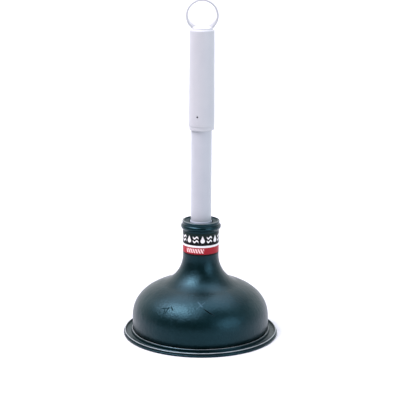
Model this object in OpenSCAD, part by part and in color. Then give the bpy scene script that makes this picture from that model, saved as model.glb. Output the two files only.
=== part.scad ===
// Sink plunger: a moulded rubber cup on a coated steel pole, with a plastic grip and hanging ring.
// Millimetres, +Z up. The origin is on the floor, in the middle of the cup's rim.
// The front faces -Y. The hanging ring lies in the XZ plane.

/* [Cup] */
// Outer diameter of the rim where it stands on the floor
rim_d = 167; // [158:1:180]
// Widest diameter of the bell
bell_d = 147.5; // [138:0.5:150]
// Height of the bell's widest section
bell_mid_z = 17; // [14:0.5:22]
// Rise of the bell from its widest section to its crown, without the neck
bell_rise = 44; // [40:0.5:48]
// How square the bell's outline is: 2 is an ellipse, more has fuller shoulders
bell_square = 2.4; // [2:0.1:2.8]
// Wall thickness of the bell
bell_wall = 4.5; // [3.5:0.1:5.5]
// Angle on the bell's outline where the hollow curve up to the neck starts
cove_start = 59; // [54:0.5:62]
// Outer diameter of the neck
neck_d = 38.5; // [36:0.5:40]
// Height of the whole cup, to the top of its collar
cup_h = 126; // [122:1:134]
// Thickness of the rubber web between the socket and the bell
web_t = 8.5; // [6:0.5:10]

/* [Pole] */
// Outer diameter of the coated pole
pole_d = 22; // [20:0.5:22.5]
// Thickness of the plastic coating
coat_t = 0.4; // [0.3:0.1:0.8]
// Wall thickness of the steel tube
tube_wall = 0.6; // [0.5:0.1:1]
// Length of pole seen between the collar and the grip
pole_seen = 98; // [60:1:200]
// Wall thickness of the boot on the pole's lower end
boot_wall = 0.6; // [0.4:0.1:0.8]
// Length of the wooden plug in the pole's lower end
plug_len = 40; // [30:1:50]

/* [Grip] */
// Length of the grip's sleeve
grip_len = 105; // [90:1:125]
// Diameter of the grip near its open end
grip_low_d = 27.4; // [26.6:0.2:29]
// Diameter of the grip at its closed end
grip_top_d = 26; // [25.4:0.2:26.4]
// Thickness of the grip's closed end
grip_end_t = 3.5; // [3:0.5:5]

/* [Hanging ring] */
// Inner diameter of the hanging ring
ring_in_d = 29.8; // [26:0.2:32]
// Thickness of the ring, seen from the front
ring_t = 2.2; // [1.8:0.1:3]
// Depth of the ring, front to back
ring_depth = 4; // [3:0.5:6]
// Height of the ring's centre above the grip's closed end
ring_rise = 14.5; // [14:0.5:16]

/* [Label] */
// Height of the label
label_h = 24.5; // [20:0.5:26]
// Thickness of the label's film
label_t = 0.2; // [0.15:0.05:0.4]

/* [Hidden] */
$fn = 96;
arc_steps = 10;

// Clearance between the cup and what moves against it
fit_gap = 0.1;

// Radii of the cup
rim_r = rim_d / 2;
bell_r = bell_d / 2;
neck_r = neck_d / 2;
foot_r = bell_r - 2;
foot_z = 4.5;
// The bell's side bulges gently from its foot to its widest section
side_r = (pow(bell_mid_z - foot_z, 2) + pow(bell_r - foot_r, 2)) / (2 * (bell_r - foot_r));
side_x = bell_r - side_r;
// The inside of the bell follows the outside, one wall thickness in
in_r = bell_r - bell_wall;
in_rise = bell_rise - bell_wall;
mouth_round = 1.5;
mouth_angle = asin((mouth_round - bell_mid_z) / (side_r - bell_wall));
boss_r = 16;
boss_angle = acos(pow(boss_r / in_r, bell_square / 2));
web_z = bell_mid_z + in_rise * pow(sin(boss_angle), 2 / bell_square);

// The hollow curve leaves the bell square to its outline and ends upright on the neck
cove_point = bulge_point([0, bell_mid_z], [bell_r, bell_rise], cove_start);
cove_normal = atan2(pow(sin(cove_start), 2 - 2 / bell_square) / bell_rise,
                    pow(cos(cove_start), 2 - 2 / bell_square) / bell_r);
cove_r = (cove_point.x - neck_r) / (1 - cos(cove_normal));
cove_c = cove_point + cove_r * [cos(cove_normal), sin(cove_normal)];

// The collar: a round bead with a square lip above it
bead_z = cup_h - 6.5;
bead_half = 2.8;
bead_out = 2.3;
lip_r = neck_r + 0.85;
lip_z = cup_h - 3.4;
lip_round = 1.2;
// The collar's top dips from here to the boot
dish_r = neck_r - 1.4;

// Heights and radii of the pole and its lower end
pole_r = pole_d / 2;
tube_r = pole_r - coat_t;
boot_r = pole_r + boot_wall;
boot_floor = 1.4;
socket_r = boot_r + fit_gap;
socket_z = web_z + web_t;
boot_z = socket_z + fit_gap;
pole_z = boot_z + boot_floor;
grip_z = cup_h + pole_seen;
grip_top = grip_z + grip_len;
pole_top = grip_top - grip_end_t;

// Screw and washer that clamp the web
screw_r = 2;
screw_core_r = 1.5;
screw_pitch = 1.8;
screw_head_r = 4.3;
screw_head_h = 2.8;
screw_bite = 24;
washer_r = 10;
washer_t = 1.2;
washer_z = web_z - fit_gap - washer_t;

// Details of the grip
lip_band_r = grip_low_d / 2 - 0.5;
lip_band_h = 3.8;
cap_round = 1.3;
cap_boss_r = 10.6;
cap_boss_h = 1.6;
cap_crown = 2;
ring_r = ring_in_d / 2;
ring_z = grip_top + ring_rise;
crown_top = grip_top + cap_boss_h + cap_crown;
// The web between the ring's feet is hollowed by this arc
web_arc_r = 16.2;
rivet_r = 1.1;
rivet_z = grip_z + 15;
rivet_turn = -20;
rivet_sink = 0.5;

label_z = cup_h - 11 - label_h;
label_r = neck_r + fit_gap;

function arc(c, r, a0, a1, n = arc_steps) =
    [for (i = [0:n]) let (a = a0 + (a1 - a0) * i / n) c + [r.x * cos(a), r.y * sin(a)]];
function circle_arc(c, r, a0, a1, n = arc_steps) = arc(c, [r, r], a0, a1, n);
// The same for a superellipse, whose outline is fuller than an ellipse's
function bulge_point(c, r, a) =
    c + [r.x * pow(cos(a), 2 / bell_square), r.y * pow(sin(a), 2 / bell_square)];
function bulge(c, r, a0, a1, n) = [for (i = [0:n]) bulge_point(c, r, a0 + (a1 - a0) * i / n)];

// Brim: a low lip, a groove, a rounded edge above it, a hollowed top, then a thin bead
brim_outline = [
    [rim_r - 0.4, 0],
    [rim_r, 0.4],
    [rim_r, 1.8],
    [rim_r - 0.3, 2.2],
    [rim_r - 1, 2.5],
    [rim_r - 1, 2.9],
    [rim_r - 0.7, 3.3],
    [rim_r - 0.9, 3.9],
    [rim_r - 1.5, 4.2],
    [rim_r - 2.3, 4.1],
    [rim_r - 3.5, 3.6],
    [foot_r + 4.8, 3.3],
    [foot_r + 4, 3.1],
    [foot_r + 3.4, 3.3],
    [foot_r + 3, 4],
    [foot_r + 2.3, 4.4],
    [foot_r + 1.6, 4.1],
    [foot_r + 1, 3.5]
];

// Outside of the bell, up to the top of the collar
bell_outline = concat(
    circle_arc([side_x, bell_mid_z], side_r, asin((foot_z - bell_mid_z) / side_r), 0, 4),
    bulge([0, bell_mid_z], [bell_r, bell_rise], 4, cove_start, 16),
    circle_arc(cove_c, cove_r, 180 + cove_normal - 3, 180, 14),
    arc([neck_r, bead_z], [bead_out, bead_half], -88, 70, 12),
    [[lip_r - 0.1, lip_z - 0.2], [lip_r, lip_z]],
    circle_arc([lip_r - lip_round, cup_h - lip_round], lip_round, 0, 90, 5)
);

// The collar's mouth, the socket, the web and the inside of the bell, down to the rim
inner_outline = concat(
    [
        [dish_r + 0.6, cup_h],
        [dish_r, cup_h - 0.3],
        [socket_r + 1.1, cup_h - 1.7],
        [socket_r + 0.4, cup_h - 2.2],
        [socket_r, cup_h - 3],
        [socket_r, socket_z],
        [screw_r + 0.6, socket_z],
        [screw_r + 0.6, web_z]
    ],
    bulge([0, bell_mid_z], [in_r, in_rise], boss_angle, 3, 18),
    circle_arc([side_x, bell_mid_z], side_r - bell_wall, 0, mouth_angle, 5),
    circle_arc([side_x + (side_r - bell_wall) * cos(mouth_angle) + mouth_round, mouth_round],
               mouth_round, 198, 270, 4)
);

// One moulded piece of rubber: brim, bell, neck, collar and socket
module rubber_cup() {
    color("darkslategray")
        rotate_extrude()
            polygon(concat(brim_outline, bell_outline, inner_outline));
}

// Printed film round the neck
module neck_label() {
    color("firebrick")
        translate([0, 0, label_z])
            difference() {
                cylinder(h = label_h, r = label_r + label_t);
                translate([0, 0, -1])
                    cylinder(h = label_h + 2, r = label_r);
            }
}

// Hole for the rivet that pins the grip to the pole, with a radius of its own
module rivet_hole(r = rivet_r) {
    translate([0, 0, rivet_z])
        rotate([90, 0, rivet_turn])
            cylinder(h = grip_low_d, r = r);
}

// A length of pole wall between two radii
module pole_wall(outer, inner) {
    difference() {
        translate([0, 0, pole_z])
            cylinder(h = pole_top - pole_z, r = outer);
        translate([0, 0, pole_z - 1])
            cylinder(h = pole_top - pole_z + 2, r = inner);
        rivet_hole();
    }
}

// Thin steel tube inside the pole
module pole_tube() {
    color("silver")
        pole_wall(tube_r, tube_r - tube_wall);
}

// White plastic coating over the tube
module pole_sleeve() {
    color("white")
        pole_wall(pole_r, tube_r);
}

// Wooden plug that takes the screw
module pole_plug() {
    color("burlywood")
        difference() {
            translate([0, 0, pole_z])
                cylinder(h = plug_len, r = tube_r - tube_wall);
            translate([0, 0, pole_z - 1])
                cylinder(h = screw_bite + 1, r = screw_core_r);
        }
}

// Plastic boot over the pole's lower end, with its rim in the mouth of the collar
module pole_end_boot() {
    color("whitesmoke")
        rotate_extrude()
            polygon([
                [screw_r + 0.1, boot_z],
                [boot_r - 0.8, boot_z],
                [boot_r, boot_z + 0.8],
                [boot_r, cup_h - 0.9],
                [boot_r - 0.2, cup_h - 0.5],
                [pole_r, cup_h - 0.5],
                [pole_r, pole_z],
                [screw_r + 0.1, pole_z]
            ]);
}

// Steel washer against the web, inside the bell
module crown_washer() {
    color("silver")
        translate([0, 0, washer_z])
            difference() {
                cylinder(h = washer_t, r = washer_r);
                translate([0, 0, -1])
                    cylinder(h = washer_t + 2, r = screw_r + 0.3);
            }
}

// Pan-head wood screw, driven up through the washer, web and boot into the plug
module crown_screw() {
    head_z = washer_z - screw_head_h;
    tip_z = pole_z + screw_bite;
    turns = floor((tip_z - 3 - pole_z) / screw_pitch);
    thread = [
        for (i = [0:turns - 1]) let (z = pole_z + 1 + i * screw_pitch)
            for (p = [[screw_core_r, z], [screw_r, z + 0.7], [screw_core_r, z + 1.4]]) p
    ];
    color("silver")
        difference() {
            rotate_extrude()
                polygon(concat(
                    [[0, head_z]],
                    arc([0, washer_z - 0.8], [screw_head_r, screw_head_h - 0.8], -65, 0, 5),
                    [[screw_head_r, washer_z], [screw_r, washer_z], [screw_r, pole_z]],
                    thread,
                    [[0, tip_z]]
                ));
            for (turn = [0, 90])
                rotate([0, 0, turn])
                    translate([-2.4, -0.5, head_z - 1])
                        cube([4.8, 1, 2.6]);
        }
}

// Outline of the grip: a stepped lower lip, a slight taper, a rounded rim and a crowned boss
grip_outline = concat(
    [[pole_r + 0.7, grip_z]],
    circle_arc([lip_band_r - 1.2, grip_z + 1.2], 1.2, -90, 0, 5),
    [
        [lip_band_r, grip_z + lip_band_h],
        [grip_low_d / 2 - 0.1, grip_z + lip_band_h + 0.7],
        [grip_low_d / 2, grip_z + lip_band_h + 1.4]
    ],
    circle_arc([grip_top_d / 2 - cap_round, grip_top - cap_round], cap_round, 3, 90, 6),
    [[cap_boss_r + 0.3, grip_top], [cap_boss_r, grip_top + 0.3]],
    arc([0, grip_top + cap_boss_h], [cap_boss_r, cap_crown], 8, 90, 10),
    [
        [0, pole_top],
        [pole_r, pole_top],
        [pole_r, grip_z + 0.7]
    ]
);

// Section of the hanging ring: a flat inner wall with rounded edges
module ring_section() {
    round_r = ring_t / 2 - 0.2;
    translate([ring_r, 0])
        polygon(concat(
            circle_arc([round_r, ring_depth / 2 - round_r], round_r, 180, 90, 5),
            circle_arc([ring_t - round_r, ring_depth / 2 - round_r], round_r, 90, 0, 5),
            circle_arc([ring_t - round_r, round_r - ring_depth / 2], round_r, 0, -90, 5),
            circle_arc([round_r, round_r - ring_depth / 2], round_r, -90, -180, 5)
        ));
}

// Thin plate between the ring's feet, hollowed from above
module ring_web() {
    web_depth = ring_depth - 1;
    rotate([90, 0, 0])
        linear_extrude(height = web_depth, center = true)
            difference() {
                translate([0, ring_z])
                    circle(r = ring_r + 0.6);
                translate([0, crown_top + web_arc_r - 0.3])
                    circle(r = web_arc_r);
                translate([-ring_r - 1, ring_z])
                    square([2 * ring_r + 2, ring_r + 2]);
                translate([-ring_r - 1, ring_z - ring_r - 2])
                    square([2 * ring_r + 2, grip_top - 0.5 - (ring_z - ring_r - 2)]);
            }
}

// One moulded piece: sleeve, closed end and hanging ring
module grip() {
    color("whitesmoke")
        difference() {
            union() {
                rotate_extrude()
                    polygon(grip_outline);
                difference() {
                    translate([0, 0, ring_z])
                        rotate([90, 0, 0])
                            rotate_extrude()
                                ring_section();
                    translate([0, 0, grip_top - 15.5])
                        cylinder(h = 15, r = pole_r);
                }
                ring_web();
            }
            rivet_hole();
        }
}

// Rivet through the grip and the pole's wall, a little below the grip's surface
module grip_rivet() {
    rivet_from = tube_r - tube_wall - 0.8;
    rivet_to = grip_low_d / 2 - rivet_sink;
    color("dimgray")
        translate([0, 0, rivet_z])
            rotate([90, 0, rivet_turn])
                translate([0, 0, rivet_from])
                    cylinder(h = rivet_to - rivet_from, r = rivet_r);
}

rubber_cup();
neck_label();
pole_tube();
pole_sleeve();
pole_plug();
pole_end_boot();
crown_washer();
crown_screw();
grip();
grip_rivet();
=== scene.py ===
"""Sink plunger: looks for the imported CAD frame. Metres, +Z up, the front faces -Y."""

import math

import bmesh
import bpy
from mathutils import Matrix, Vector, noise


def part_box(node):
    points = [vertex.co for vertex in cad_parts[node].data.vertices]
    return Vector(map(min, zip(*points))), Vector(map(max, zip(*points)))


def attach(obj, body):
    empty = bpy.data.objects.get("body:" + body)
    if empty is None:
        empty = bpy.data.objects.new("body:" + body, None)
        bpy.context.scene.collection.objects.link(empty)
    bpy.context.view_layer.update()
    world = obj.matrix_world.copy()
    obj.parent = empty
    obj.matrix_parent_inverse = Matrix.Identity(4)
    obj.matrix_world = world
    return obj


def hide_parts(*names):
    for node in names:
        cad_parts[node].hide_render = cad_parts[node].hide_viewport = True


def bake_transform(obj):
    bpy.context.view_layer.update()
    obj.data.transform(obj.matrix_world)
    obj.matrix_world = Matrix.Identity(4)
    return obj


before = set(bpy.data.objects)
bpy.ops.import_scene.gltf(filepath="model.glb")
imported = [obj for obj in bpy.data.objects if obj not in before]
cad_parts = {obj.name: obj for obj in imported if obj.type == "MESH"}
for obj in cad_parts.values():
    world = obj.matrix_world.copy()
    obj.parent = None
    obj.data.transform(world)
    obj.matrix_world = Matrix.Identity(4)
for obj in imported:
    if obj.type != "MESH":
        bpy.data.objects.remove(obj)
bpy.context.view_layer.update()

MM = 0.001

# ---------------------------------------------------------------- sizes, from the frame
_, cup_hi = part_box("rubber_cup")
label_lo, label_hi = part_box("neck_label")
sleeve_lo, sleeve_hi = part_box("pole_sleeve")
boot_lo, boot_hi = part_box("pole_end_boot")
washer_lo, washer_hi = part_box("crown_washer")
screw_lo, screw_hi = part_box("crown_screw")
grip_lo, grip_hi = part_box("grip")
rivet_lo, rivet_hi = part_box("grip_rivet")

RIM_R = cup_hi.x
CUP_H = cup_hi.z
POLE_R = sleeve_hi.x
BOOT_R = boot_hi.x
LABEL_R = label_hi.x
WASHER_R = washer_hi.x
GRIP_LOW_R = grip_hi.y

# Sizes that the boxes don't give, the same as in the CAD source
BELL_R = 73.75 * MM
BELL_MID_Z = 17 * MM
BELL_RISE = 44 * MM
BELL_SQUARE = 2.4
BELL_WALL = 4.5 * MM
COVE_START = math.radians(59)
NECK_R = 19.25 * MM
DISH_R = NECK_R - 1.4 * MM
FOOT_R = BELL_R - 2 * MM
FOOT_Z = 4.5 * MM
BOSS_R = 16 * MM
SCREW_HOLE_R = 2.6 * MM
COLLAR_BEAD_OUT = 2.3 * MM
COLLAR_BEAD_HALF = 2.8 * MM
COLLAR_BEAD_Z = CUP_H - 6.5 * MM
FIT_GAP = 0.1 * MM
COAT_T = 0.4 * MM
GRIP_TOP_R = 13 * MM
GRIP_LEN = 105 * MM
GRIP_END_T = 3.5 * MM
RING_IN_R = 14.9 * MM
RING_T = 2.2 * MM
RING_DEPTH = 4 * MM
RING_RISE = 14.5 * MM
RIVET_R = 1.1 * MM
RIVET_TURN = math.radians(-20)
RIVET_SINK = 0.5 * MM

# Only here: the brim's crest and the bead at the bell's foot, with a deeper trough between them
# than the CAD's, and the collar's lip, a hair inside the CAD's
CREST_R = RIM_R - 1.75 * MM
CREST_Z = 4.2 * MM
BEAD_R = FOOT_R + 2.3 * MM
BEAD_TOP = 5.6 * MM
TROUGH_Z = 1.8 * MM
LIP_R = NECK_R + 0.83 * MM

GRIP_Z = grip_lo.z
GRIP_TOP = GRIP_Z + GRIP_LEN
RING_Z = GRIP_TOP + RING_RISE
RIVET_Z = (rivet_lo.z + rivet_hi.z) / 2


# ---------------------------------------------------------------- mesh helpers
def arc(cx, cz, rx, rz, start, end, steps):
    """Points (r, z) on an ellipse, angles in degrees."""
    angles = [math.radians(start + (end - start) * i / steps) for i in range(steps + 1)]
    return [(cx + rx * math.cos(a), cz + rz * math.sin(a)) for a in angles]


def bulge(rx, rz, start, end, steps):
    """Points (r, z) on the bell's superellipse, angles in degrees."""
    angles = [math.radians(start + (end - start) * i / steps) for i in range(steps + 1)]
    power = 2 / BELL_SQUARE
    return [(rx * math.cos(a) ** power, BELL_MID_Z + rz * math.sin(a) ** power) for a in angles]


def fillet(points, radius, steps=4):
    """Rounds the corners of an open outline, each by at most radius."""
    out = [points[0]]
    for before, here, after in zip(points, points[1:], points[2:]):
        p, q, s = Vector(before), Vector(here), Vector(after)
        reach = min(radius, 0.45 * (p - q).length, 0.45 * (s - q).length)
        a = q + (p - q).normalized() * reach
        b = q + (s - q).normalized() * reach
        for i in range(steps + 1):
            t = i / steps
            m = a * (1 - t) ** 2 + q * 2 * t * (1 - t) + b * t ** 2
            out.append((m.x, m.y))
    out.append(points[-1])
    return out


def mesh_object(name, verts, faces):
    mesh = bpy.data.meshes.new(name)
    mesh.from_pydata(verts, [], faces)
    mesh.validate()
    obj = bpy.data.objects.new(name, mesh)
    bpy.context.scene.collection.objects.link(obj)
    return obj


def smooth(obj, sharp_degrees=38):
    """Smooth shading, with edges steeper than this kept sharp."""
    obj.data.shade_smooth()
    obj.data.set_sharp_from_angle(angle=math.radians(sharp_degrees))
    return obj


def lathe(name, outline, segments=160, closed=True, radius=None):
    """Turns an outline of (r, z) points about Z. radius(r, z, angle) may vary r round the turn."""
    verts, rows = [], []
    for r, z in outline:
        if r < 1e-7:
            rows.append([len(verts)] * segments)
            verts.append((0, 0, z))
            continue
        rows.append(range(len(verts), len(verts) + segments))
        for i in range(segments):
            a = 2 * math.pi * i / segments
            s = radius(r, z, a) if radius else r
            verts.append((s * math.sin(a), -s * math.cos(a), z))
    pairs = list(zip(rows, rows[1:]))
    if closed:
        pairs.append((rows[-1], rows[0]))
    faces = []
    for low, high in pairs:
        for i in range(segments):
            j = (i + 1) % segments
            loop = [low[i], low[j], high[j], high[i]]
            face = [v for k, v in enumerate(loop) if v != loop[k - 1]]
            if len(face) > 2:
                faces.append(face)
    obj = mesh_object(name, verts, faces)
    fix_normals(obj)
    return obj


def fix_normals(obj):
    """Joins points that fall together and turns all faces outwards."""
    bm = bmesh.new()
    bm.from_mesh(obj.data)
    bmesh.ops.remove_doubles(bm, verts=bm.verts, dist=1e-7)
    bmesh.ops.recalc_face_normals(bm, faces=bm.faces)
    bm.to_mesh(obj.data)
    bm.free()


def bake_modifiers(obj):
    """Replaces the mesh by what its modifiers make of it."""
    graph = bpy.context.evaluated_depsgraph_get()
    mesh = bpy.data.meshes.new_from_object(obj.evaluated_get(graph))
    old = obj.data
    obj.modifiers.clear()
    obj.data = mesh
    mesh.name = obj.name
    bpy.data.meshes.remove(old)
    return obj


def boolean(obj, tool, operation):
    """Cuts tool from obj or joins it on, and throws the tool away."""
    modifier = obj.modifiers.new("cut", "BOOLEAN")
    modifier.operation = operation
    modifier.solver = "EXACT"
    modifier.object = tool
    bake_modifiers(obj)
    bpy.data.objects.remove(tool)
    return obj


def dense(z_from, z_to, step):
    """Evenly spaced values from one to the other, about step apart."""
    count = max(1, round((z_to - z_from) / step))
    return [z_from + (z_to - z_from) * i / count for i in range(count + 1)]


# ---------------------------------------------------------------- node helpers
class Graph:
    """The node tree of a new material or world, with short calls for the nodes used here."""

    def __init__(self, name, owner="materials", shader="Principled BSDF", coordinates="Object"):
        self.owner = getattr(bpy.data, owner).new(name)
        self.owner.use_nodes = True
        self.tree = self.owner.node_tree
        self.shader = self.tree.nodes[shader]
        self.where = self.add("ShaderNodeTexCoord").outputs[coordinates]

    def add(self, kind, inputs=(), **settings):
        node = self.tree.nodes.new(kind)
        for key, value in settings.items():
            setattr(node, key, value)
        for key, value in dict(inputs).items():
            self.put(node.inputs[key], value)
        return node

    def put(self, socket, value):
        if isinstance(value, bpy.types.NodeSocket):
            self.tree.links.new(value, socket)
        else:
            socket.default_value = value

    def math(self, operation, *values, clamp=False):
        node = self.add("ShaderNodeMath", operation=operation, use_clamp=clamp)
        for socket, value in zip(node.inputs, values):
            self.put(socket, value)
        return node.outputs[0]

    def vector(self, operation, *values):
        node = self.add("ShaderNodeVectorMath", operation=operation)
        for socket, value in zip(node.inputs, values):
            self.put(socket, value)
        return node.outputs["Value" if operation in ("DOT_PRODUCT", "LENGTH") else "Vector"]

    def noise(self, scale, detail=4, roughness=0.55, stretch=None, distortion=0.0):
        where = self.where
        if stretch:
            where = self.add("ShaderNodeMapping", {"Vector": where, "Scale": stretch}).outputs[0]
        node = self.add("ShaderNodeTexNoise", {
            "Vector": where, "Scale": scale, "Detail": detail,
            "Roughness": roughness, "Distortion": distortion,
        })
        return node.outputs["Fac"]

    def span(self, value, low, high, to_low=0.0, to_high=1.0):
        """Smooth step of value from low..high to to_low..to_high."""
        node = self.add("ShaderNodeMapRange", {
            "Value": value, "From Min": low, "From Max": high,
            "To Min": to_low, "To Max": to_high,
        }, interpolation_type="SMOOTHSTEP")
        return node.outputs[0]

    def largest(self, first, *others):
        for other in others:
            first = self.math("MAXIMUM", first, other)
        return first

    def length(self, a, b):
        """The square root of a squared plus b squared."""
        squares = [self.math("MULTIPLY", v, v) for v in (a, b)]
        return self.math("SQRT", self.math("ADD", *squares))

    def linear(self, value, scale, start):
        """value times scale, plus start."""
        return self.math("ADD", self.math("MULTIPLY", value, scale), start)

    def scaled(self, vector, scale):
        node = self.add("ShaderNodeVectorMath", {0: vector, "Scale": scale}, operation="SCALE")
        return node.outputs["Vector"]

    def mix(self, factor, a, b):
        node = self.add("ShaderNodeMix", data_type="RGBA")
        for socket, value in ((node.inputs[0], factor), (node.inputs[6], a), (node.inputs[7], b)):
            self.put(socket, value)
        return node.outputs[2]

    def xyz(self):
        return self.add("ShaderNodeSeparateXYZ", {"Vector": self.where}).outputs

    def bump(self, *layers):
        """Stacks (height, distance in metres, strength) layers into a normal."""
        normal = None
        for height, distance, strength in layers:
            node = self.add("ShaderNodeBump", {
                "Height": height, "Distance": distance, "Strength": strength,
            })
            if normal is not None:
                self.put(node.inputs["Normal"], normal)
            normal = node.outputs[0]
        self.put(self.shader.inputs["Normal"], normal)

    def set(self, **values):
        names = {"color": "Base Color", "rough": "Roughness", "metal": "Metallic", "ior": "IOR",
                 "tint": "Specular Tint", "specular": "Specular IOR Level"}
        for key, value in values.items():
            self.put(self.shader.inputs[names[key]], value)


def rgb(r, g, b):
    return (r, g, b, 1.0)


def near_line(g, start, end, width):
    """1 on a straight line from start to end, falling to 0 at width from it."""
    a, ab = Vector(start), Vector(end) - Vector(start)
    from_a = g.vector("SUBTRACT", g.where, tuple(a))
    dot = g.vector("DOT_PRODUCT", from_a, tuple(ab))
    along = g.math("DIVIDE", dot, ab.length_squared, clamp=True)
    away = g.vector("LENGTH", g.vector("SUBTRACT", from_a, g.scaled(tuple(ab), along)))
    return g.span(away, width, 0.0)


# ---------------------------------------------------------------- materials
def bell_point(azimuth, height):
    """A point on the front of the bell's outside, azimuth in degrees, height in mm."""
    z = height * MM
    r = BELL_R * (1 - ((z - BELL_MID_Z) / BELL_RISE) ** BELL_SQUARE) ** (1 / BELL_SQUARE)
    a = math.radians(azimuth)
    return (r * math.sin(a), -r * math.cos(a), z)


# A nick cut into the front of the bell, from one (azimuth, height) to another
NICK_START = (3.0, 45.5)
NICK_END = (12.4, 39.4)
# Faint scrapes to the left of it
SCRAPES = (((-38.5, 42.3), (-31.5, 43.8)), ((-35.4, 43.0), (-34.2, 37.6)),
           ((-31.6, 44.4), (-33.2, 38.8)), ((-29.4, 44.8), (-26.8, 43.0)))
# Crest lines painted pale, as painted highlight and as wear: radius, height and how much
CREST_HIGHLIGHT_AND_WEAR = ((CREST_R + 0.45 * MM, CREST_Z - 0.1 * MM, 1.0), (BEAD_R, BEAD_TOP, 0.8),
                (NECK_R + 0.35 * MM, CUP_H - 0.1 * MM, 0.5))


def crest_highlight_and_wear(g, r, z, cloud):
    """Pale lines on the brim's crest, the bead at the foot and the collar's lip: painted highlights that also
    stand for wear, patchy as wear is.
    """
    total = None
    for ring_r, ring_z, share in CREST_HIGHLIGHT_AND_WEAR:
        away = g.length(g.math("SUBTRACT", r, ring_r), g.math("SUBTRACT", z, ring_z))
        line = g.span(away, 0.65 * MM, 0.3 * MM, 0.0, share)
        total = line if total is None else g.math("ADD", total, line)
    return g.math("MULTIPLY", total, g.span(cloud, 0.25, 0.7, 0.6, 1.0))


def rubber_material():
    """Very dark green rubber: a bloom in clouds, moulding texture, a polished collar, some wear, painted
    highlight lines on its crests and painted shade in the nick.
    """
    g = Graph("moulded_rubber")
    x, y, z = g.xyz()
    r = g.length(x, y)
    broad = g.noise(17, 3, 0.5)
    cloud = g.noise(75, 5, 0.6, distortion=0.4)
    grain = g.noise(1500, 2, 0.6)
    peel = g.noise(480, 3, 0.55)
    scuff = g.span(g.noise(190, 3, 0.55, stretch=(1, 1, 0.12)), 0.64, 0.76)

    def mark(start, end, width):
        return near_line(g, bell_point(*start), bell_point(*end), width)

    slit = mark(NICK_START, NICK_END, 1.1 * MM)
    crease = mark((-2.5, 50.4), (1.6, 47.2), 1.3 * MM)
    crossing = mark((4.5, 50.2), (-3.2, 45.6), 1.0 * MM)
    creases = g.math("MAXIMUM", crease, g.math("MULTIPLY", crossing, 0.7))
    scrapes = g.largest(*[mark(start, end, 1.1 * MM) for start, end in SCRAPES])

    deep = g.mix(g.span(broad, 0.35, 0.65), rgb(0.0003, 0.0045, 0.0045), rgb(0.0008, 0.007, 0.0078))
    bloomed = g.mix(g.span(cloud, 0.45, 0.8, 0.0, 0.5), deep, rgb(0.003, 0.013, 0.0155))
    scuffed = g.mix(g.math("MULTIPLY", scuff, 0.3), bloomed, rgb(0.012, 0.035, 0.04))
    creased = g.mix(g.math("MULTIPLY", creases, 0.6), scuffed, rgb(0.05, 0.085, 0.11))
    # Painted shade: the nick coloured darker than the rubber round it
    nick_painted_shade = g.mix(slit, creased, rgb(0.0005, 0.0015, 0.0015))
    # Pale crest lines: painted highlights, also standing for wear
    g.set(color=g.mix(crest_highlight_and_wear(g, r, z, cloud), nick_painted_shade, rgb(0.28, 0.295, 0.295)))

    # Roughness: mottled, polished on the collar, dull in the collar's mouth and where it is worn
    mottled = g.math("ADD", g.linear(cloud, 0.12, 0.24), g.math("MULTIPLY", grain, 0.05))
    polish = g.span(z, CUP_H - 14 * MM, CUP_H - 10 * MM, 0.0, -0.14)
    dish = g.math("MULTIPLY",
                  g.span(r, DISH_R + 0.2 * MM, DISH_R - 0.4 * MM, 0.0, 0.3),
                  g.span(z, CUP_H - 3 * MM, CUP_H - 2 * MM))
    cuts = g.math("MULTIPLY", g.math("MAXIMUM", slit, scrapes), 0.6)
    worn = g.math("ADD", g.math("MULTIPLY", scuff, 0.12), cuts)
    moulded = g.math("ADD", mottled, g.math("ADD", polish, dish))
    g.set(rough=g.math("ADD", moulded, worn, clamp=True))

    g.set(specular=0.42, tint=rgb(0.30, 0.72, 0.90))
    g.bump(
        (broad, 1.0 * MM, 0.6),
        (cloud, 0.6 * MM, 0.7),
        (peel, 0.26 * MM, 0.8),
        (grain, 0.04 * MM, 0.6),
        (creases, 0.12 * MM, 0.8),
        (scrapes, 0.15 * MM, -0.7),
    )
    return g.owner


def web_painted_light(g):
    """Painted light: 1 on the web inside the hanging ring, painted paler as if light came through it, and
    less on the boss under it.
    """
    x, _, z = g.xyz()
    away = g.length(x, g.math("SUBTRACT", z, RING_Z))
    web = g.math("MULTIPLY",
                 g.span(away, RING_IN_R + 0.1 * MM, RING_IN_R - 0.3 * MM),
                 g.span(z, GRIP_TOP + 1.6 * MM, GRIP_TOP + 2 * MM))
    boss = g.span(z, GRIP_TOP + 2 * MM, GRIP_TOP + 1.7 * MM, 0.0, 0.35)
    above = g.span(z, GRIP_TOP, GRIP_TOP + 0.3 * MM)
    return g.math("MULTIPLY", above, g.math("MAXIMUM", web, boss))


def plastic_material(name, color, shade, rough, peel_depth, thin=None):
    """Satin moulded plastic: faint clouding, moulding peel, fine handling scratches, and painted light where
    a thin mask is given.
    """
    g = Graph(name)
    cloud = g.noise(35, 4, 0.55)
    peel = g.noise(420, 3, 0.5)
    scratch = g.span(g.noise(700, 2, 0.5, stretch=(1, 1, 0.04)), 0.64, 0.76)
    tone = g.mix(g.span(cloud, 0.3, 0.7), color, shade)
    # Painted light: paler on the ring's web and the boss where the thin mask is given
    if thin:
        tone = g.mix(thin(g), tone, rgb(0.67, 0.67, 0.675))
    dulled = rgb(*[0.86 * c for c in color[:3]])
    g.set(color=g.mix(g.math("MULTIPLY", scratch, 0.2), tone, dulled))
    base = g.linear(cloud, 0.08, rough + 0.02)
    g.set(rough=g.math("ADD", base, g.math("MULTIPLY", scratch, 0.15)), ior=1.49)
    g.bump((peel, peel_depth, 0.5), (scratch, 0.005 * MM, -0.3))
    return g.owner


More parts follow.
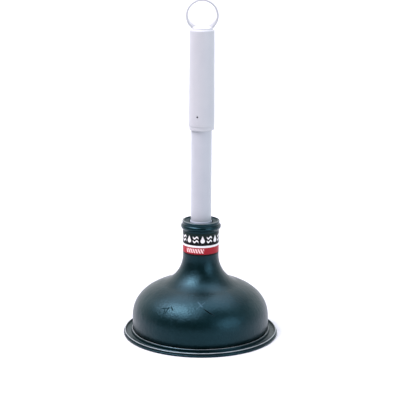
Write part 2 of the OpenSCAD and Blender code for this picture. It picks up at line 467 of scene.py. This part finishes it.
def metal_material(name, color, rough, brushed=(1, 1, 30), blotch=0.25):
    """Plated or drawn steel: brushing along one way and dull blotches."""
    g = Graph(name)
    lines = g.noise(500, 3, 0.6, stretch=brushed)
    cloud = g.noise(160, 4, 0.6)
    dull = rgb(*[0.62 * c for c in color[:3]])
    g.set(color=g.mix(g.span(cloud, 0.45, 0.75, 0.0, blotch), color, dull), metal=1.0)
    clouded = g.span(cloud, 0.3, 0.7, rough, rough + 0.12)
    g.set(rough=g.math("ADD", clouded, g.math("MULTIPLY", lines, 0.12)))
    g.bump((lines, 0.01 * MM, 0.5), (cloud, 0.02 * MM, 0.3))
    return g.owner


def wood_material():
    """Turned softwood, with the grain along the plug."""
    g = Graph("plug_softwood")
    grain = g.noise(240, 4, 0.6, stretch=(1, 1, 0.06), distortion=0.6)
    fibre = g.noise(1200, 3, 0.6, stretch=(1, 1, 0.04))
    rings = g.mix(g.span(grain, 0.4, 0.62), rgb(0.60, 0.42, 0.24), rgb(0.38, 0.22, 0.10))
    g.set(color=g.mix(g.math("MULTIPLY", fibre, 0.3), rings, rgb(0.68, 0.52, 0.33)))
    g.set(rough=g.span(grain, 0.3, 0.7, 0.62, 0.8))
    g.bump((grain, 0.08 * MM, 0.5), (fibre, 0.03 * MM, 0.5))
    return g.owner


# Bands of the label, heights above its lower edge, and its printed marks
LABEL_BORDER = 1.8 * MM
LABEL_RED_TOP = 9.1 * MM
LABEL_WHITE_TOP = 11.3 * MM
MARK_Z = 17.9 * MM
MARK_COUNT = 16
WAVE_LENGTH = 5.2 * MM
WAVE_SWING = 0.95 * MM
DROP_R = 2.35 * MM
DASH_Z = 5.5 * MM
DASH_PITCH = 2.9 * MM


def label_material():
    """Printed film: a dark part with waves and drops, a white line and a red band with dashes."""
    g = Graph("printed_film")
    x, y, z = g.xyz()
    angle = g.math("ARCTAN2", x, g.math("MULTIPLY", y, -1.0))
    rise = g.math("SUBTRACT", z, label_lo.z)
    soft = 0.12 * MM

    def band(low, high):
        return g.math("MULTIPLY",
                      g.span(rise, low - soft, low + soft),
                      g.span(rise, high + soft, high - soft))

    def inside(distance, half):
        return g.span(distance, half + soft, half - soft)

    # Marks stand in equal cells round the neck, by turns a pair of waves and a drop.
    # u and v run across and up from the middle of a cell. The whole numbers added here and
    # below keep the values above zero, and the quarter turns the marks round the neck
    cell = 2 * math.pi / MARK_COUNT
    turn = g.math("ADD", g.math("DIVIDE", angle, cell), 100.25)
    odd = g.math("MODULO", g.math("FLOOR", turn), 2.0)
    u = g.math("MULTIPLY", g.math("SUBTRACT", g.math("FRACT", turn), 0.5), cell * LABEL_R)
    v = g.math("SUBTRACT", rise, MARK_Z)
    swing = g.math("MULTIPLY", g.math("SINE", g.math("MULTIPLY", u, 2 * math.pi / WAVE_LENGTH)), WAVE_SWING)
    within = inside(g.math("ABSOLUTE", u), 3.1 * MM)
    waves = []
    for lift in (-2.0 * MM, 2.0 * MM):
        off = g.math("ABSOLUTE", g.math("SUBTRACT", g.math("SUBTRACT", v, lift), swing))
        waves.append(g.math("MULTIPLY", inside(off, 0.9 * MM), within))
    wave = g.math("ADD", *waves)
    # A drop is a ball with a tapered point on it
    ball = g.length(u, g.math("ADD", v, 1.4 * MM))
    taper = g.math("MULTIPLY", g.math("SUBTRACT", 4.3 * MM, v), 0.42)
    point = g.math("MULTIPLY",
                   g.span(g.math("SUBTRACT", g.math("ABSOLUTE", u), taper), soft, -soft),
                   g.span(v, -0.7 * MM, -0.3 * MM))
    drop = g.math("MAXIMUM", inside(ball, DROP_R), point)
    even = g.math("SUBTRACT", 1.0, odd)
    marks = g.math("ADD", g.math("MULTIPLY", wave, odd), g.math("MULTIPLY", drop, even))

    # Slanted dashes on two stretches of the red band
    w = g.math("SUBTRACT", rise, DASH_Z)
    along = g.math("ADD", g.math("MULTIPLY", angle, LABEL_R), g.math("MULTIPLY", w, 0.45))
    beat = g.math("FRACT", g.math("ADD", g.math("DIVIDE", along, DASH_PITCH), 50.0))
    bars = g.math("MULTIPLY", g.span(beat, 0.04, 0.12), g.span(beat, 0.72, 0.64))
    stretch = g.math("COSINE", g.math("MULTIPLY", g.math("ADD", angle, math.radians(20)), 2.0))
    dashes = g.math("MULTIPLY",
                    g.math("MULTIPLY", bars, inside(g.math("ABSOLUTE", w), 2.3 * MM)),
                    g.span(stretch, 0.48, 0.52))

    wear = g.noise(420, 4, 0.65)
    worn = g.span(wear, 0.62, 0.74, 0.0, 0.35)
    # The film is nearly black, greener towards its top
    black, white = rgb(0.003, 0.0035, 0.004), rgb(0.82, 0.80, 0.79)
    dark = g.mix(g.span(rise, 17 * MM, 24 * MM, 0.0, 0.8), black, rgb(0.006, 0.02, 0.018))
    color = g.mix(band(LABEL_BORDER, LABEL_RED_TOP), dark, rgb(0.34, 0.018, 0.028))
    color = g.mix(band(LABEL_RED_TOP, LABEL_WHITE_TOP), color, white)
    color = g.mix(marks, color, white)
    color = g.mix(dashes, color, rgb(0.88, 0.60, 0.58))
    g.set(color=g.mix(g.math("MULTIPLY", worn, 0.3), color, rgb(0.16, 0.14, 0.14)))
    g.set(rough=g.linear(wear, 0.1, 0.26), ior=1.5, specular=0.1)
    g.bump((wear, 0.02 * MM, 0.4))
    return g.owner


RUBBER = rubber_material()
GRIP_PLASTIC = plastic_material(
    "grip_white", rgb(0.49, 0.495, 0.505), rgb(0.462, 0.468, 0.485), 0.38, 0.05 * MM, web_painted_light)
SLEEVE_PLASTIC = plastic_material(
    "pole_coating", rgb(0.455, 0.47, 0.492), rgb(0.428, 0.443, 0.47), 0.27, 0.03 * MM)
BOOT_PLASTIC = plastic_material(
    "boot_white", rgb(0.43, 0.465, 0.53), rgb(0.40, 0.44, 0.505), 0.34, 0.04 * MM)
ZINC = metal_material("zinc_plate", rgb(0.60, 0.61, 0.62), 0.29)
TUBE_STEEL = metal_material("drawn_steel", rgb(0.50, 0.51, 0.53), 0.3, brushed=(8, 8, 0.2))
RIVET_STEEL = metal_material("dull_steel", rgb(0.10, 0.10, 0.105), 0.42, blotch=0.5)
FILM = label_material()
WOOD = wood_material()


def finish_piece(obj, material, body, slot, *nodes):
    """Gives a piece its material and body, and hides the CAD nodes that it stands for. The slot argument is
    not used.

    The body is None for the cup, which is attached to neither.
    """
    obj.data.materials.clear()
    obj.data.materials.append(material)
    if body:
        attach(obj, body)
    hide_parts(*nodes)


# ---------------------------------------------------------------- the rubber cup
def cup_outline():
    """The cup's whole section, from the rim's outer edge over the collar and back through the inside."""
    brim = fillet([
        (RIM_R - 0.4 * MM, 0), (RIM_R, 0.4 * MM), (RIM_R, 1.6 * MM), (RIM_R - 0.35 * MM, 1.95 * MM),
        (RIM_R - 1.7 * MM, 2.1 * MM), (RIM_R - 1.75 * MM, 2.75 * MM), (RIM_R - 0.85 * MM, 3.2 * MM),
        (CREST_R + 0.6 * MM, CREST_Z - 0.4 * MM), (CREST_R, CREST_Z),
        (CREST_R - 0.6 * MM, CREST_Z - 0.2 * MM), (CREST_R - 1.2 * MM, TROUGH_Z + 0.4 * MM),
        (CREST_R - 2.0 * MM, TROUGH_Z), (BEAD_R + 1.9 * MM, TROUGH_Z),
        (BEAD_R + 1.1 * MM, TROUGH_Z + 0.4 * MM), (BEAD_R + 0.75 * MM, BEAD_TOP - 0.7 * MM),
        (BEAD_R + 0.1 * MM, BEAD_TOP), (BEAD_R - 0.5 * MM, BEAD_TOP - 0.3 * MM),
        (BEAD_R - 0.9 * MM, 3.6 * MM), (BEAD_R - 1.5 * MM, 3.0 * MM),
        (FOOT_R + 0.1 * MM, 3.3 * MM),
    ], 0.25 * MM, 3)
    start = math.degrees(COVE_START)
    cove_x, cove_z = bulge(BELL_R, BELL_RISE, start, start, 1)[0]
    steep = 2 - 2 / BELL_SQUARE
    normal = math.atan2(math.sin(COVE_START) ** steep / BELL_RISE,
                        math.cos(COVE_START) ** steep / BELL_R)
    cove_r = (cove_x - NECK_R) / (1 - math.cos(normal))
    cove_c = (cove_x + cove_r * math.cos(normal), cove_z + cove_r * math.sin(normal))
    lean = math.degrees(normal)
    # The side stays upright down to near the foot, then draws in
    side = []
    for z in dense(FOOT_Z, BELL_MID_Z, 0.8 * MM):
        depth = (BELL_MID_Z - z) / (BELL_MID_Z - FOOT_Z)
        side.append((BELL_R - (BELL_R - FOOT_R) * depth ** 5, z))
    outside = (
        side
        + bulge(BELL_R, BELL_RISE, 3, start, 40)
        + arc(*cove_c, cove_r, cove_r, 180 + lean - 2, 180, 26)
        + [(NECK_R, z) for z in dense(cove_c[1] + 2 * MM, CUP_H - 11 * MM, 2 * MM)]
    )
    lip_round = 1.1 * MM
    collar = (
        arc(NECK_R, COLLAR_BEAD_Z, COLLAR_BEAD_OUT, COLLAR_BEAD_HALF, -86, 70, 14)
        + [(LIP_R - 0.35 * MM, CUP_H - 3.75 * MM), (LIP_R - 0.05 * MM, CUP_H - 3.45 * MM)]
        + arc(LIP_R - lip_round, CUP_H - lip_round, lip_round, lip_round, 0, 90, 6)
        + [(DISH_R + 0.9 * MM, CUP_H - 0.02 * MM)]
    )
    socket_r = BOOT_R + FIT_GAP
    mouth = fillet([
        (DISH_R + 0.6 * MM, CUP_H - 0.05 * MM), (DISH_R + 0.1 * MM, CUP_H - 0.35 * MM),
        (DISH_R - 0.1 * MM, CUP_H - 1.2 * MM), (DISH_R - 0.7 * MM, CUP_H - 1.35 * MM),
        (DISH_R - 1.6 * MM, CUP_H - 0.95 * MM), (socket_r + 1.4 * MM, CUP_H - 1.45 * MM),
        (socket_r + 0.95 * MM, CUP_H - 1.8 * MM), (socket_r + 0.7 * MM, CUP_H - 3.9 * MM),
        (socket_r, CUP_H - 4.8 * MM), (socket_r, CUP_H - 5.6 * MM),
    ], 0.3 * MM, 3)
    in_r, in_rise = BELL_R - BELL_WALL, BELL_RISE - BELL_WALL
    boss_angle = math.degrees(math.acos((BOSS_R / in_r) ** (BELL_SQUARE / 2)))
    web_z = bulge(in_r, in_rise, boss_angle, boss_angle, 1)[0][1]
    socket_z = boot_lo.z - FIT_GAP
    socket = [(socket_r, z) for z in reversed(dense(socket_z, CUP_H - 7 * MM, 4 * MM))]
    web = [(SCREW_HOLE_R, socket_z), (SCREW_HOLE_R, web_z), (WASHER_R + 1.2 * MM, web_z),
           (WASHER_R + 1.8 * MM, web_z - 0.5 * MM), (WASHER_R + 2.6 * MM, web_z - 0.5 * MM)]
    # The inside of the wall bulges on a large arc and ends in a rounded mouth
    side_r = ((BELL_MID_Z - FOOT_Z) ** 2 + (BELL_R - FOOT_R) ** 2) / (2 * (BELL_R - FOOT_R))
    side_x = BELL_R - side_r
    wall_r = side_r - BELL_WALL
    round_r = 1.5 * MM
    mouth_angle = math.asin((round_r - BELL_MID_Z) / wall_r)
    mouth_x = side_x + wall_r * math.cos(mouth_angle)
    inside = (
        bulge(in_r, in_rise, boss_angle, 3, 40)
        + arc(side_x, BELL_MID_Z, wall_r, wall_r, 0, math.degrees(mouth_angle), 8)
        + arc(mouth_x + round_r, round_r, round_r, round_r, 198, 270, 5)
        + [(FOOT_R + 2 * MM, 0), (RIM_R - 6 * MM, 0)]
    )
    return brim + outside + collar + mouth + socket + web + inside


def rubber_radius(r, z, angle):
    """Moulded rubber is never quite true: the bell's wall waves by a fraction of a millimetre."""
    rise = min(1.0, max(0.0, (z - 6 * MM) / (14 * MM))) * min(1.0, max(0.0, (70 * MM - z) / (14 * MM)))
    at = Vector((math.sin(angle), -math.cos(angle), z / (60 * MM))) * 1.6
    return r + 0.28 * MM * rise * noise.noise(at)


def nick_blade():
    """A thin wedge along the nick, pointed at both ends and sunk into the bell's wall."""
    steps, half_width, depth, above = 12, 0.75 * MM, 2.2 * MM, 0.8 * MM
    along = (Vector(bell_point(*NICK_END)) - Vector(bell_point(*NICK_START))).normalized()
    verts, faces = [], []
    for i in range(steps + 1):
        t = i / steps
        share = max(0.02, math.sin(math.pi * t)) ** 0.6
        spot = Vector(bell_point(*[a + (b - a) * t for a, b in zip(NICK_START, NICK_END)]))
        out = (spot - Vector((0, 0, BELL_MID_Z))).normalized()
        side = out.cross(along).normalized() * half_width * share
        verts += [spot + out * above + side, spot + out * above - side, spot - out * depth * share]
    for i in range(steps):
        q = 3 * i
        faces += [(q, q + 3, q + 4, q + 1), (q + 1, q + 4, q + 5, q + 2), (q + 2, q + 5, q + 3, q)]
    faces += [(0, 1, 2), (3 * steps + 2, 3 * steps + 1, 3 * steps)]
    blade = mesh_object("nick_blade", verts, faces)
    fix_normals(blade)
    return blade


cup = lathe("rubber_bell", cup_outline(), segments=240, radius=rubber_radius)
boolean(cup, nick_blade(), "DIFFERENCE")
smooth(cup, 42)
finish_piece(cup, RUBBER, None, "cup_rubber", "rubber_cup")
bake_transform(cup)


# ---------------------------------------------------------------- the label
def make_label():
    """A film wrapped once round the neck, its outer end lapped over the inner one at the back."""
    thin = label_hi.x - NECK_R - FIT_GAP
    half, steps = math.pi * 1.03, 200
    edge, curled = 0.02 * MM, 0.3 * MM
    heights = [label_lo.z + edge, *dense(label_lo.z + curled, label_hi.z - curled, 3 * MM), label_hi.z - edge]
    verts, faces = [], []
    for side in (0, 1):
        for z in heights:
            curl = 0.05 * MM if z in (heights[0], heights[-1]) else 0
            for i in range(steps + 1):
                t = i / steps
                a = -half + 2 * half * t
                lap = 0.5 * thin * max(0.0, min(1.0, (t - 0.93) / 0.03))
                r = NECK_R + FIT_GAP + lap + (0.5 * thin - curl if side else curl * 0.5)
                verts.append((r * math.sin(a), -r * math.cos(a), z))
    row, sheet = steps + 1, (steps + 1) * len(heights)
    for k in range(len(heights) - 1):
        for i in range(steps):
            q = k * row + i
            faces.append((q + sheet, q + 1 + sheet, q + row + 1 + sheet, q + row + sheet))
            faces.append((q, q + row, q + row + 1, q + 1))
    for i in range(steps):
        top = (len(heights) - 1) * row + i
        faces.append((i, i + 1, i + 1 + sheet, i + sheet))
        faces.append((top, top + sheet, top + 1 + sheet, top + 1))
    for k in range(len(heights) - 1):
        for i in (0, steps):
            q = k * row + i
            faces.append((q, q + sheet, q + row + sheet, q + row))
    label = mesh_object("neck_label_film", verts, faces)
    fix_normals(label)
    return smooth(label, 50)


finish_piece(make_label(), FILM, "handle", "label_film", "neck_label")


# ---------------------------------------------------------------- the pole and its lower end
def lay_on_rivet_axis(obj):
    """Turns a lathed piece so that its axis runs out through the grip's wall at the rivet."""
    turn = Matrix.Rotation(RIVET_TURN, 4, "Z") @ Matrix.Rotation(math.radians(90), 4, "X")
    obj.data.transform(Matrix.Translation((0, 0, RIVET_Z)) @ turn)
    return obj


def rivet_tool(radius, start, end):
    """A cylinder along the rivet's axis, between two distances from the pole's axis."""
    outline = [(0, start), (radius, start), (radius, end), (0, end)]
    return lay_on_rivet_axis(lathe("rivet_tool", outline, 32, closed=False))


def make_sleeve():
    """The coating of the pole, with its hole for the rivet."""
    inner = POLE_R - COAT_T
    heights = dense(sleeve_lo.z, RIVET_Z - 4 * MM, 8 * MM)
    heights += dense(RIVET_Z - 3 * MM, RIVET_Z + 3 * MM, 1 * MM)
    heights += dense(RIVET_Z + 4 * MM, sleeve_hi.z, 8 * MM)
    outline = [(POLE_R, z) for z in heights] + [(inner, z) for z in reversed(heights)]
    sleeve = lathe("pole_coating_tube", outline, 128)
    return smooth(boolean(sleeve, rivet_tool(RIVET_R, inner - 1 * MM, POLE_R + 1 * MM), "DIFFERENCE"))


def make_boot():
    """The thin cap over the pole's lower end, with its hole for the screw."""
    hole = 2.1 * MM
    top = boot_hi.z
    outline = fillet([
        (hole, boot_lo.z), (BOOT_R - 0.8 * MM, boot_lo.z), (BOOT_R, boot_lo.z + 0.8 * MM),
        (BOOT_R, top - 0.3 * MM), (BOOT_R - 0.2 * MM, top), (POLE_R + 0.02 * MM, top),
        (POLE_R, sleeve_lo.z), (hole, sleeve_lo.z),
    ], 0.15 * MM)
    return smooth(lathe("pole_boot", outline, 128))


finish_piece(make_sleeve(), SLEEVE_PLASTIC, "handle", "pole_coating", "pole_sleeve")
finish_piece(make_boot(), BOOT_PLASTIC, "handle", "boot_plastic", "pole_end_boot")


# ---------------------------------------------------------------- washer and screw
def make_washer():
    """A pressed washer, its edge rounded by the press and very slightly dished."""
    low, high, hole = washer_lo.z, washer_hi.z, 2.3 * MM
    outline = fillet([
        (hole, low), (WASHER_R - 3 * MM, low), (WASHER_R, low + 0.12 * MM), (WASHER_R, high),
        (WASHER_R - 3 * MM, high), (hole, high), (hole, low + 0.4 * MM),
    ], 0.25 * MM)
    return smooth(lathe("washer_disc", outline, 96))


SCREW_R = 2.0 * MM
SCREW_CORE_R = 1.5 * MM
SCREW_PITCH = 1.8 * MM
SCREW_HEAD_R = 4.3 * MM


def screw_radius(r, z, angle):
    """A helical thread on the length above the boot's floor, running out at the tip."""
    start = sleeve_lo.z + 0.5 * MM
    if z < start or r > SCREW_R + 0.01 * MM:
        return r
    turn = (z / SCREW_PITCH - angle / (2 * math.pi)) % 1.0
    ridge = max(0.0, 1 - abs(turn - 0.5) / 0.3)
    room = min(1.0, (z - start) / SCREW_PITCH, (screw_hi.z - z) / (3 * MM))
    return r + (SCREW_R - SCREW_CORE_R) * ridge * max(0.0, room)


def make_screw():
    """Pan-head wood screw with a cross recess."""
    under = washer_lo.z
    head_h = under - screw_lo.z
    shank_top = sleeve_lo.z + 0.5 * MM
    tip = 3 * MM
    head = arc(0, under - 0.8 * MM, SCREW_HEAD_R, head_h - 0.8 * MM, -90, 0, 10)
    outline = head + [(SCREW_HEAD_R, under - 0.15 * MM), (SCREW_HEAD_R - 0.15 * MM, under)]
    outline += [(SCREW_R, under)]
    outline += [(SCREW_R, z) for z in dense(under + 1 * MM, shank_top - 1 * MM, 3 * MM)]
    outline += [(SCREW_CORE_R, z) for z in dense(shank_top, screw_hi.z - tip, SCREW_PITCH / 12)]
    outline += [(SCREW_CORE_R * (1 - t / 14), screw_hi.z - tip * (1 - t / 14)) for t in range(1, 15)]
    screw = lathe("pan_head_screw", outline, 64, closed=False, radius=screw_radius)
    for turn in (0, 90):
        tool = make_wedge(2.5 * MM, 0.55 * MM, screw_lo.z)
        tool.data.transform(Matrix.Rotation(math.radians(turn + 12), 4, "Z"))
        boolean(screw, tool, "DIFFERENCE")
    return smooth(screw, 30)


def make_wedge(half_length, half_width, z):
    """One arm pair of the cross recess, narrowing as it goes in."""
    depth = 1.9 * MM
    verts = []
    for level, share in ((z - 0.6 * MM, 1.1), (z + depth, 0.45)):
        for x, y in ((-1, -1), (1, -1), (1, 1), (-1, 1)):
            verts.append((x * half_length * share, y * half_width * share, level))
    faces = [(3, 2, 1, 0), (4, 5, 6, 7)] + [(i, (i + 1) % 4, (i + 1) % 4 + 4, i + 4) for i in range(4)]
    wedge = mesh_object("recess_tool", verts, faces)
    fix_normals(wedge)
    return wedge


finish_piece(make_washer(), ZINC, "handle", "zinc_steel", "crown_washer")
finish_piece(make_screw(), ZINC, "handle", "zinc_steel", "crown_screw")


# ---------------------------------------------------------------- the grip and its hanging ring
BOSS_OUT_R = 10.6 * MM
BOSS_H = 1.6 * MM
BOSS_CROWN = 2 * MM
WEB_ARC_R = 16.2 * MM
VOXEL = 0.27 * MM


def ring_solid():
    """The hanging ring, turned about Y: a flat inner wall with rounded edges."""
    round_r = RING_T / 2 - 0.2 * MM
    half = RING_DEPTH / 2
    outline = (
        arc(RING_IN_R + round_r, half - round_r, round_r, round_r, 180, 90, 5)
        + arc(RING_IN_R + RING_T - round_r, half - round_r, round_r, round_r, 90, 0, 5)
        + arc(RING_IN_R + RING_T - round_r, round_r - half, round_r, round_r, 0, -90, 5)
        + arc(RING_IN_R + round_r, round_r - half, round_r, round_r, -90, -180, 5)
    )
    ring = lathe("ring_solid", outline, 160)
    ring.data.transform(Matrix.Translation((0, 0, RING_Z)) @ Matrix.Rotation(math.radians(90), 4, "X"))
    return ring


def web_solid():
    """The thin plate between the ring's feet, hollowed from above."""
    half = (RING_DEPTH - 1 * MM) / 2
    low = GRIP_TOP - 0.3 * MM
    arc_z = GRIP_TOP + BOSS_H + BOSS_CROWN - 0.3 * MM + WEB_ARC_R
    outer = RING_IN_R + 0.8 * MM
    half_wide, steps = 14.4 * MM, 40
    top, bottom = [], []
    for i in range(steps + 1):
        x = -half_wide + 2 * half_wide * i / steps
        top.append((x, arc_z - math.sqrt(WEB_ARC_R ** 2 - x ** 2)))
        bottom.append((x, max(low, RING_Z - math.sqrt(outer ** 2 - x ** 2))))
    rim = bottom + top[::-1]
    count = len(rim)
    verts = [(x, y, z) for y in (-half, half) for x, z in rim]
    faces = [tuple(range(count)), tuple(range(2 * count - 1, count - 1, -1))]
    faces += [(i, i + count, (i + 1) % count + count, (i + 1) % count) for i in range(count)]
    web = mesh_object("web_solid", verts, faces)
    fix_normals(web)
    return web


def make_crown():
    """Boss, ring and web run into one moulded piece with soft fillets."""
    base = GRIP_TOP - 0.8 * MM
    boss = lathe("crown", [
        (0, base), (BOSS_OUT_R + 0.2 * MM, base), (BOSS_OUT_R + 0.7 * MM, GRIP_TOP - 0.05 * MM),
        (BOSS_OUT_R + 0.15 * MM, GRIP_TOP + 0.3 * MM), (BOSS_OUT_R, GRIP_TOP + 0.8 * MM),
    ] + arc(0, GRIP_TOP + BOSS_H, BOSS_OUT_R, BOSS_CROWN, 6, 90, 12), 96, closed=False)
    for part in (ring_solid(), web_solid()):
        boolean(boss, part, "UNION")
    remesh = boss.modifiers.new("voxels", "REMESH")
    remesh.mode = "VOXEL"
    remesh.voxel_size = VOXEL
    relax = boss.modifiers.new("relax", "SMOOTH")
    relax.factor = 0.5
    relax.iterations = 9
    return bake_modifiers(boss)


def make_grip():
    """The sleeve with its closed end, the crown on it, and the hole for the rivet."""
    band_r, band_h = GRIP_LOW_R - 0.5 * MM, 3.8 * MM
    taper_from, taper_to = GRIP_Z + band_h + 1.4 * MM, GRIP_TOP - 1.3 * MM
    heights = dense(taper_from, RIVET_Z - 3 * MM, 1.5 * MM)
    heights += dense(RIVET_Z - 2.4 * MM, RIVET_Z + 2.4 * MM, 0.4 * MM)
    heights += dense(RIVET_Z + 3 * MM, taper_to, 4 * MM)
    side = []
    for z in heights:
        share = (z - taper_from) / (taper_to - taper_from)
        side.append((GRIP_LOW_R + (GRIP_TOP_R - GRIP_LOW_R) * share, z))
    inner_top = GRIP_TOP - GRIP_END_T
    outline = (
        arc(band_r - 0.8 * MM, GRIP_Z + 0.8 * MM, 0.8 * MM, 0.8 * MM, -90, 0, 7)
        + fillet([(band_r, GRIP_Z + 1.6 * MM), (band_r, GRIP_Z + band_h),
                  (GRIP_LOW_R - 0.08 * MM, GRIP_Z + band_h + 0.7 * MM), side[0]], 0.5 * MM)
        + side[1:-1]
        + arc(GRIP_TOP_R - 1.3 * MM, taper_to, 1.3 * MM, 1.3 * MM, 0, 90, 9)
        + [(0, GRIP_TOP), (0, inner_top), (POLE_R, inner_top)]
        + [(POLE_R, z) for z in reversed(dense(GRIP_Z + 2 * MM, inner_top - 2 * MM, 4 * MM))]
        + [(POLE_R, GRIP_Z + 0.7 * MM), (POLE_R + 0.7 * MM, GRIP_Z)]
    )
    grip = lathe("grip_moulding", outline, 160)
    boolean(grip, make_crown(), "UNION")
    boolean(grip, rivet_tool(RIVET_R + 0.02 * MM, POLE_R - 1 * MM, GRIP_LOW_R + 2 * MM), "DIFFERENCE")
    return smooth(grip, 40)


def make_rivet():
    """A blind rivet's end, slightly domed, with the dimple of its broken stem."""
    start = POLE_R - 1.8 * MM
    end = GRIP_LOW_R - RIVET_SINK
    outline = [
        (0, start), (RIVET_R - 0.1 * MM, start), (RIVET_R, start + 0.1 * MM), (RIVET_R, end - 0.35 * MM),
        (RIVET_R - 0.12 * MM, end - 0.12 * MM), (RIVET_R - 0.4 * MM, end), (0.45 * MM, end),
        (0.35 * MM, end - 0.3 * MM), (0, end - 0.35 * MM),
    ]
    rivet = lay_on_rivet_axis(lathe("rivet_pin", outline, 40, closed=False))
    return smooth(rivet, 35)


finish_piece(make_grip(), GRIP_PLASTIC, "handle", "grip_plastic", "grip")
finish_piece(make_rivet(), RIVET_STEEL, "handle", "rivet_steel", "grip_rivet")

# ---------------------------------------------------------------- CAD nodes that stay
for node_name, material, slot_name in (("pole_tube", TUBE_STEEL, "tube_steel"),
                                       ("pole_plug", WOOD, "plug_wood")):
    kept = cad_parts[node_name]
    kept.data.materials.clear()
    kept.data.materials.append(material)


# ---------------------------------------------------------------- floor, light and camera
def make_floor():
    """A plain pale floor, wide enough to reach past the view's edges from every side."""
    reach, low = 40, -0.2 * MM
    corners = [(x * reach, y * reach, low) for x, y in ((-1, -1), (1, -1), (1, 1), (-1, 1))]
    floor = mesh_object("floor", corners, [(0, 1, 2, 3)])
    g = Graph("pale_floor")
    g.set(color=rgb(0.55, 0.55, 0.55), rough=0.7, specular=0.2)
    floor.data.materials.append(g.owner)


def panel(g, azimuth, elevation, wide, high, edge):
    """1 inside a soft ellipse of the sky. Angles in degrees, azimuth from the front to the right."""
    turn, rise = math.radians(azimuth), math.radians(elevation)
    flat = math.cos(rise)
    middle = Vector((math.sin(turn) * flat, -math.cos(turn) * flat, math.sin(rise)))
    side = Vector((math.cos(turn), math.sin(turn), 0))
    squares = []
    for axis, half in ((side, wide), (middle.cross(side), high)):
        share = g.vector("DOT_PRODUCT", g.where, axis / math.sin(math.radians(half)))
        squares.append(g.math("MULTIPLY", share, share))
    inside = g.span(g.math("ADD", *squares), 1.0 + edge, 1.0 - edge)
    ahead = g.span(g.vector("DOT_PRODUCT", g.where, middle), 0.0, 0.1)
    return g.math("MULTIPLY", inside, ahead)


def make_world():
    """The studio, painted by direction: pale behind, dark in front, soft panels overhead and beside."""
    g = Graph("studio", "worlds", "Background", "Generated")
    # Azimuth, elevation, half width and half height of each panel, its edge, strength and tint
    panels = (
        ((-66, 58, 33, 20, 0.5), 5.3, (1.0, 0.93, 1.06)),
        ((-68, 62, 12, 8, 0.5), 18.0, (1.02, 0.95, 1.0)),
        ((176, 77, 32, 25, 0.5), 3.5, (0.9, 0.96, 1.12)),
        ((50, 18, 19, 18, 0.4), 3.9, (0.84, 0.94, 1.08)),
        ((108, 14, 30, 24, 0.7), 0.75, (0.87, 1.0, 1.04)),
        ((82, 52, 14, 14, 0.6), 1.1, (0.87, 0.98, 1.04)),
        ((-114, 22, 26, 26, 0.7), 0.75, (0.87, 1.0, 1.04)),
    )
    behind = g.span(g.xyz()[1], 0.25, 0.9, 0.02, 1.15)
    total = g.scaled((0.97, 0.98, 1.0), behind)
    for place, strength, color in panels:
        light = g.scaled(color, g.math("MULTIPLY", panel(g, *place), strength))
        total = g.vector("ADD", total, light)
    g.put(g.shader.inputs["Color"], total)
    bpy.context.scene.world = g.owner


def make_camera():
    """A long lens from the front, a little above the plunger and looking slightly down."""
    data = bpy.data.cameras.new("camera")
    data.sensor_width = 36
    data.lens = 117.85
    camera = bpy.data.objects.new("camera", data)
    bpy.context.scene.collection.objects.link(camera)
    pitch, roll = math.radians(13.31), math.radians(0.35)
    camera.location = (-1.2 * MM, -1361 * MM, 469.5 * MM)
    turn = Matrix.Rotation(math.pi / 2 - pitch, 4, "X") @ Matrix.Rotation(roll, 4, "Z")
    camera.rotation_euler = turn.to_euler()
    bpy.context.scene.camera = camera


make_floor()
make_world()
make_camera()
bpy.context.scene.view_settings.view_transform = "Standard"
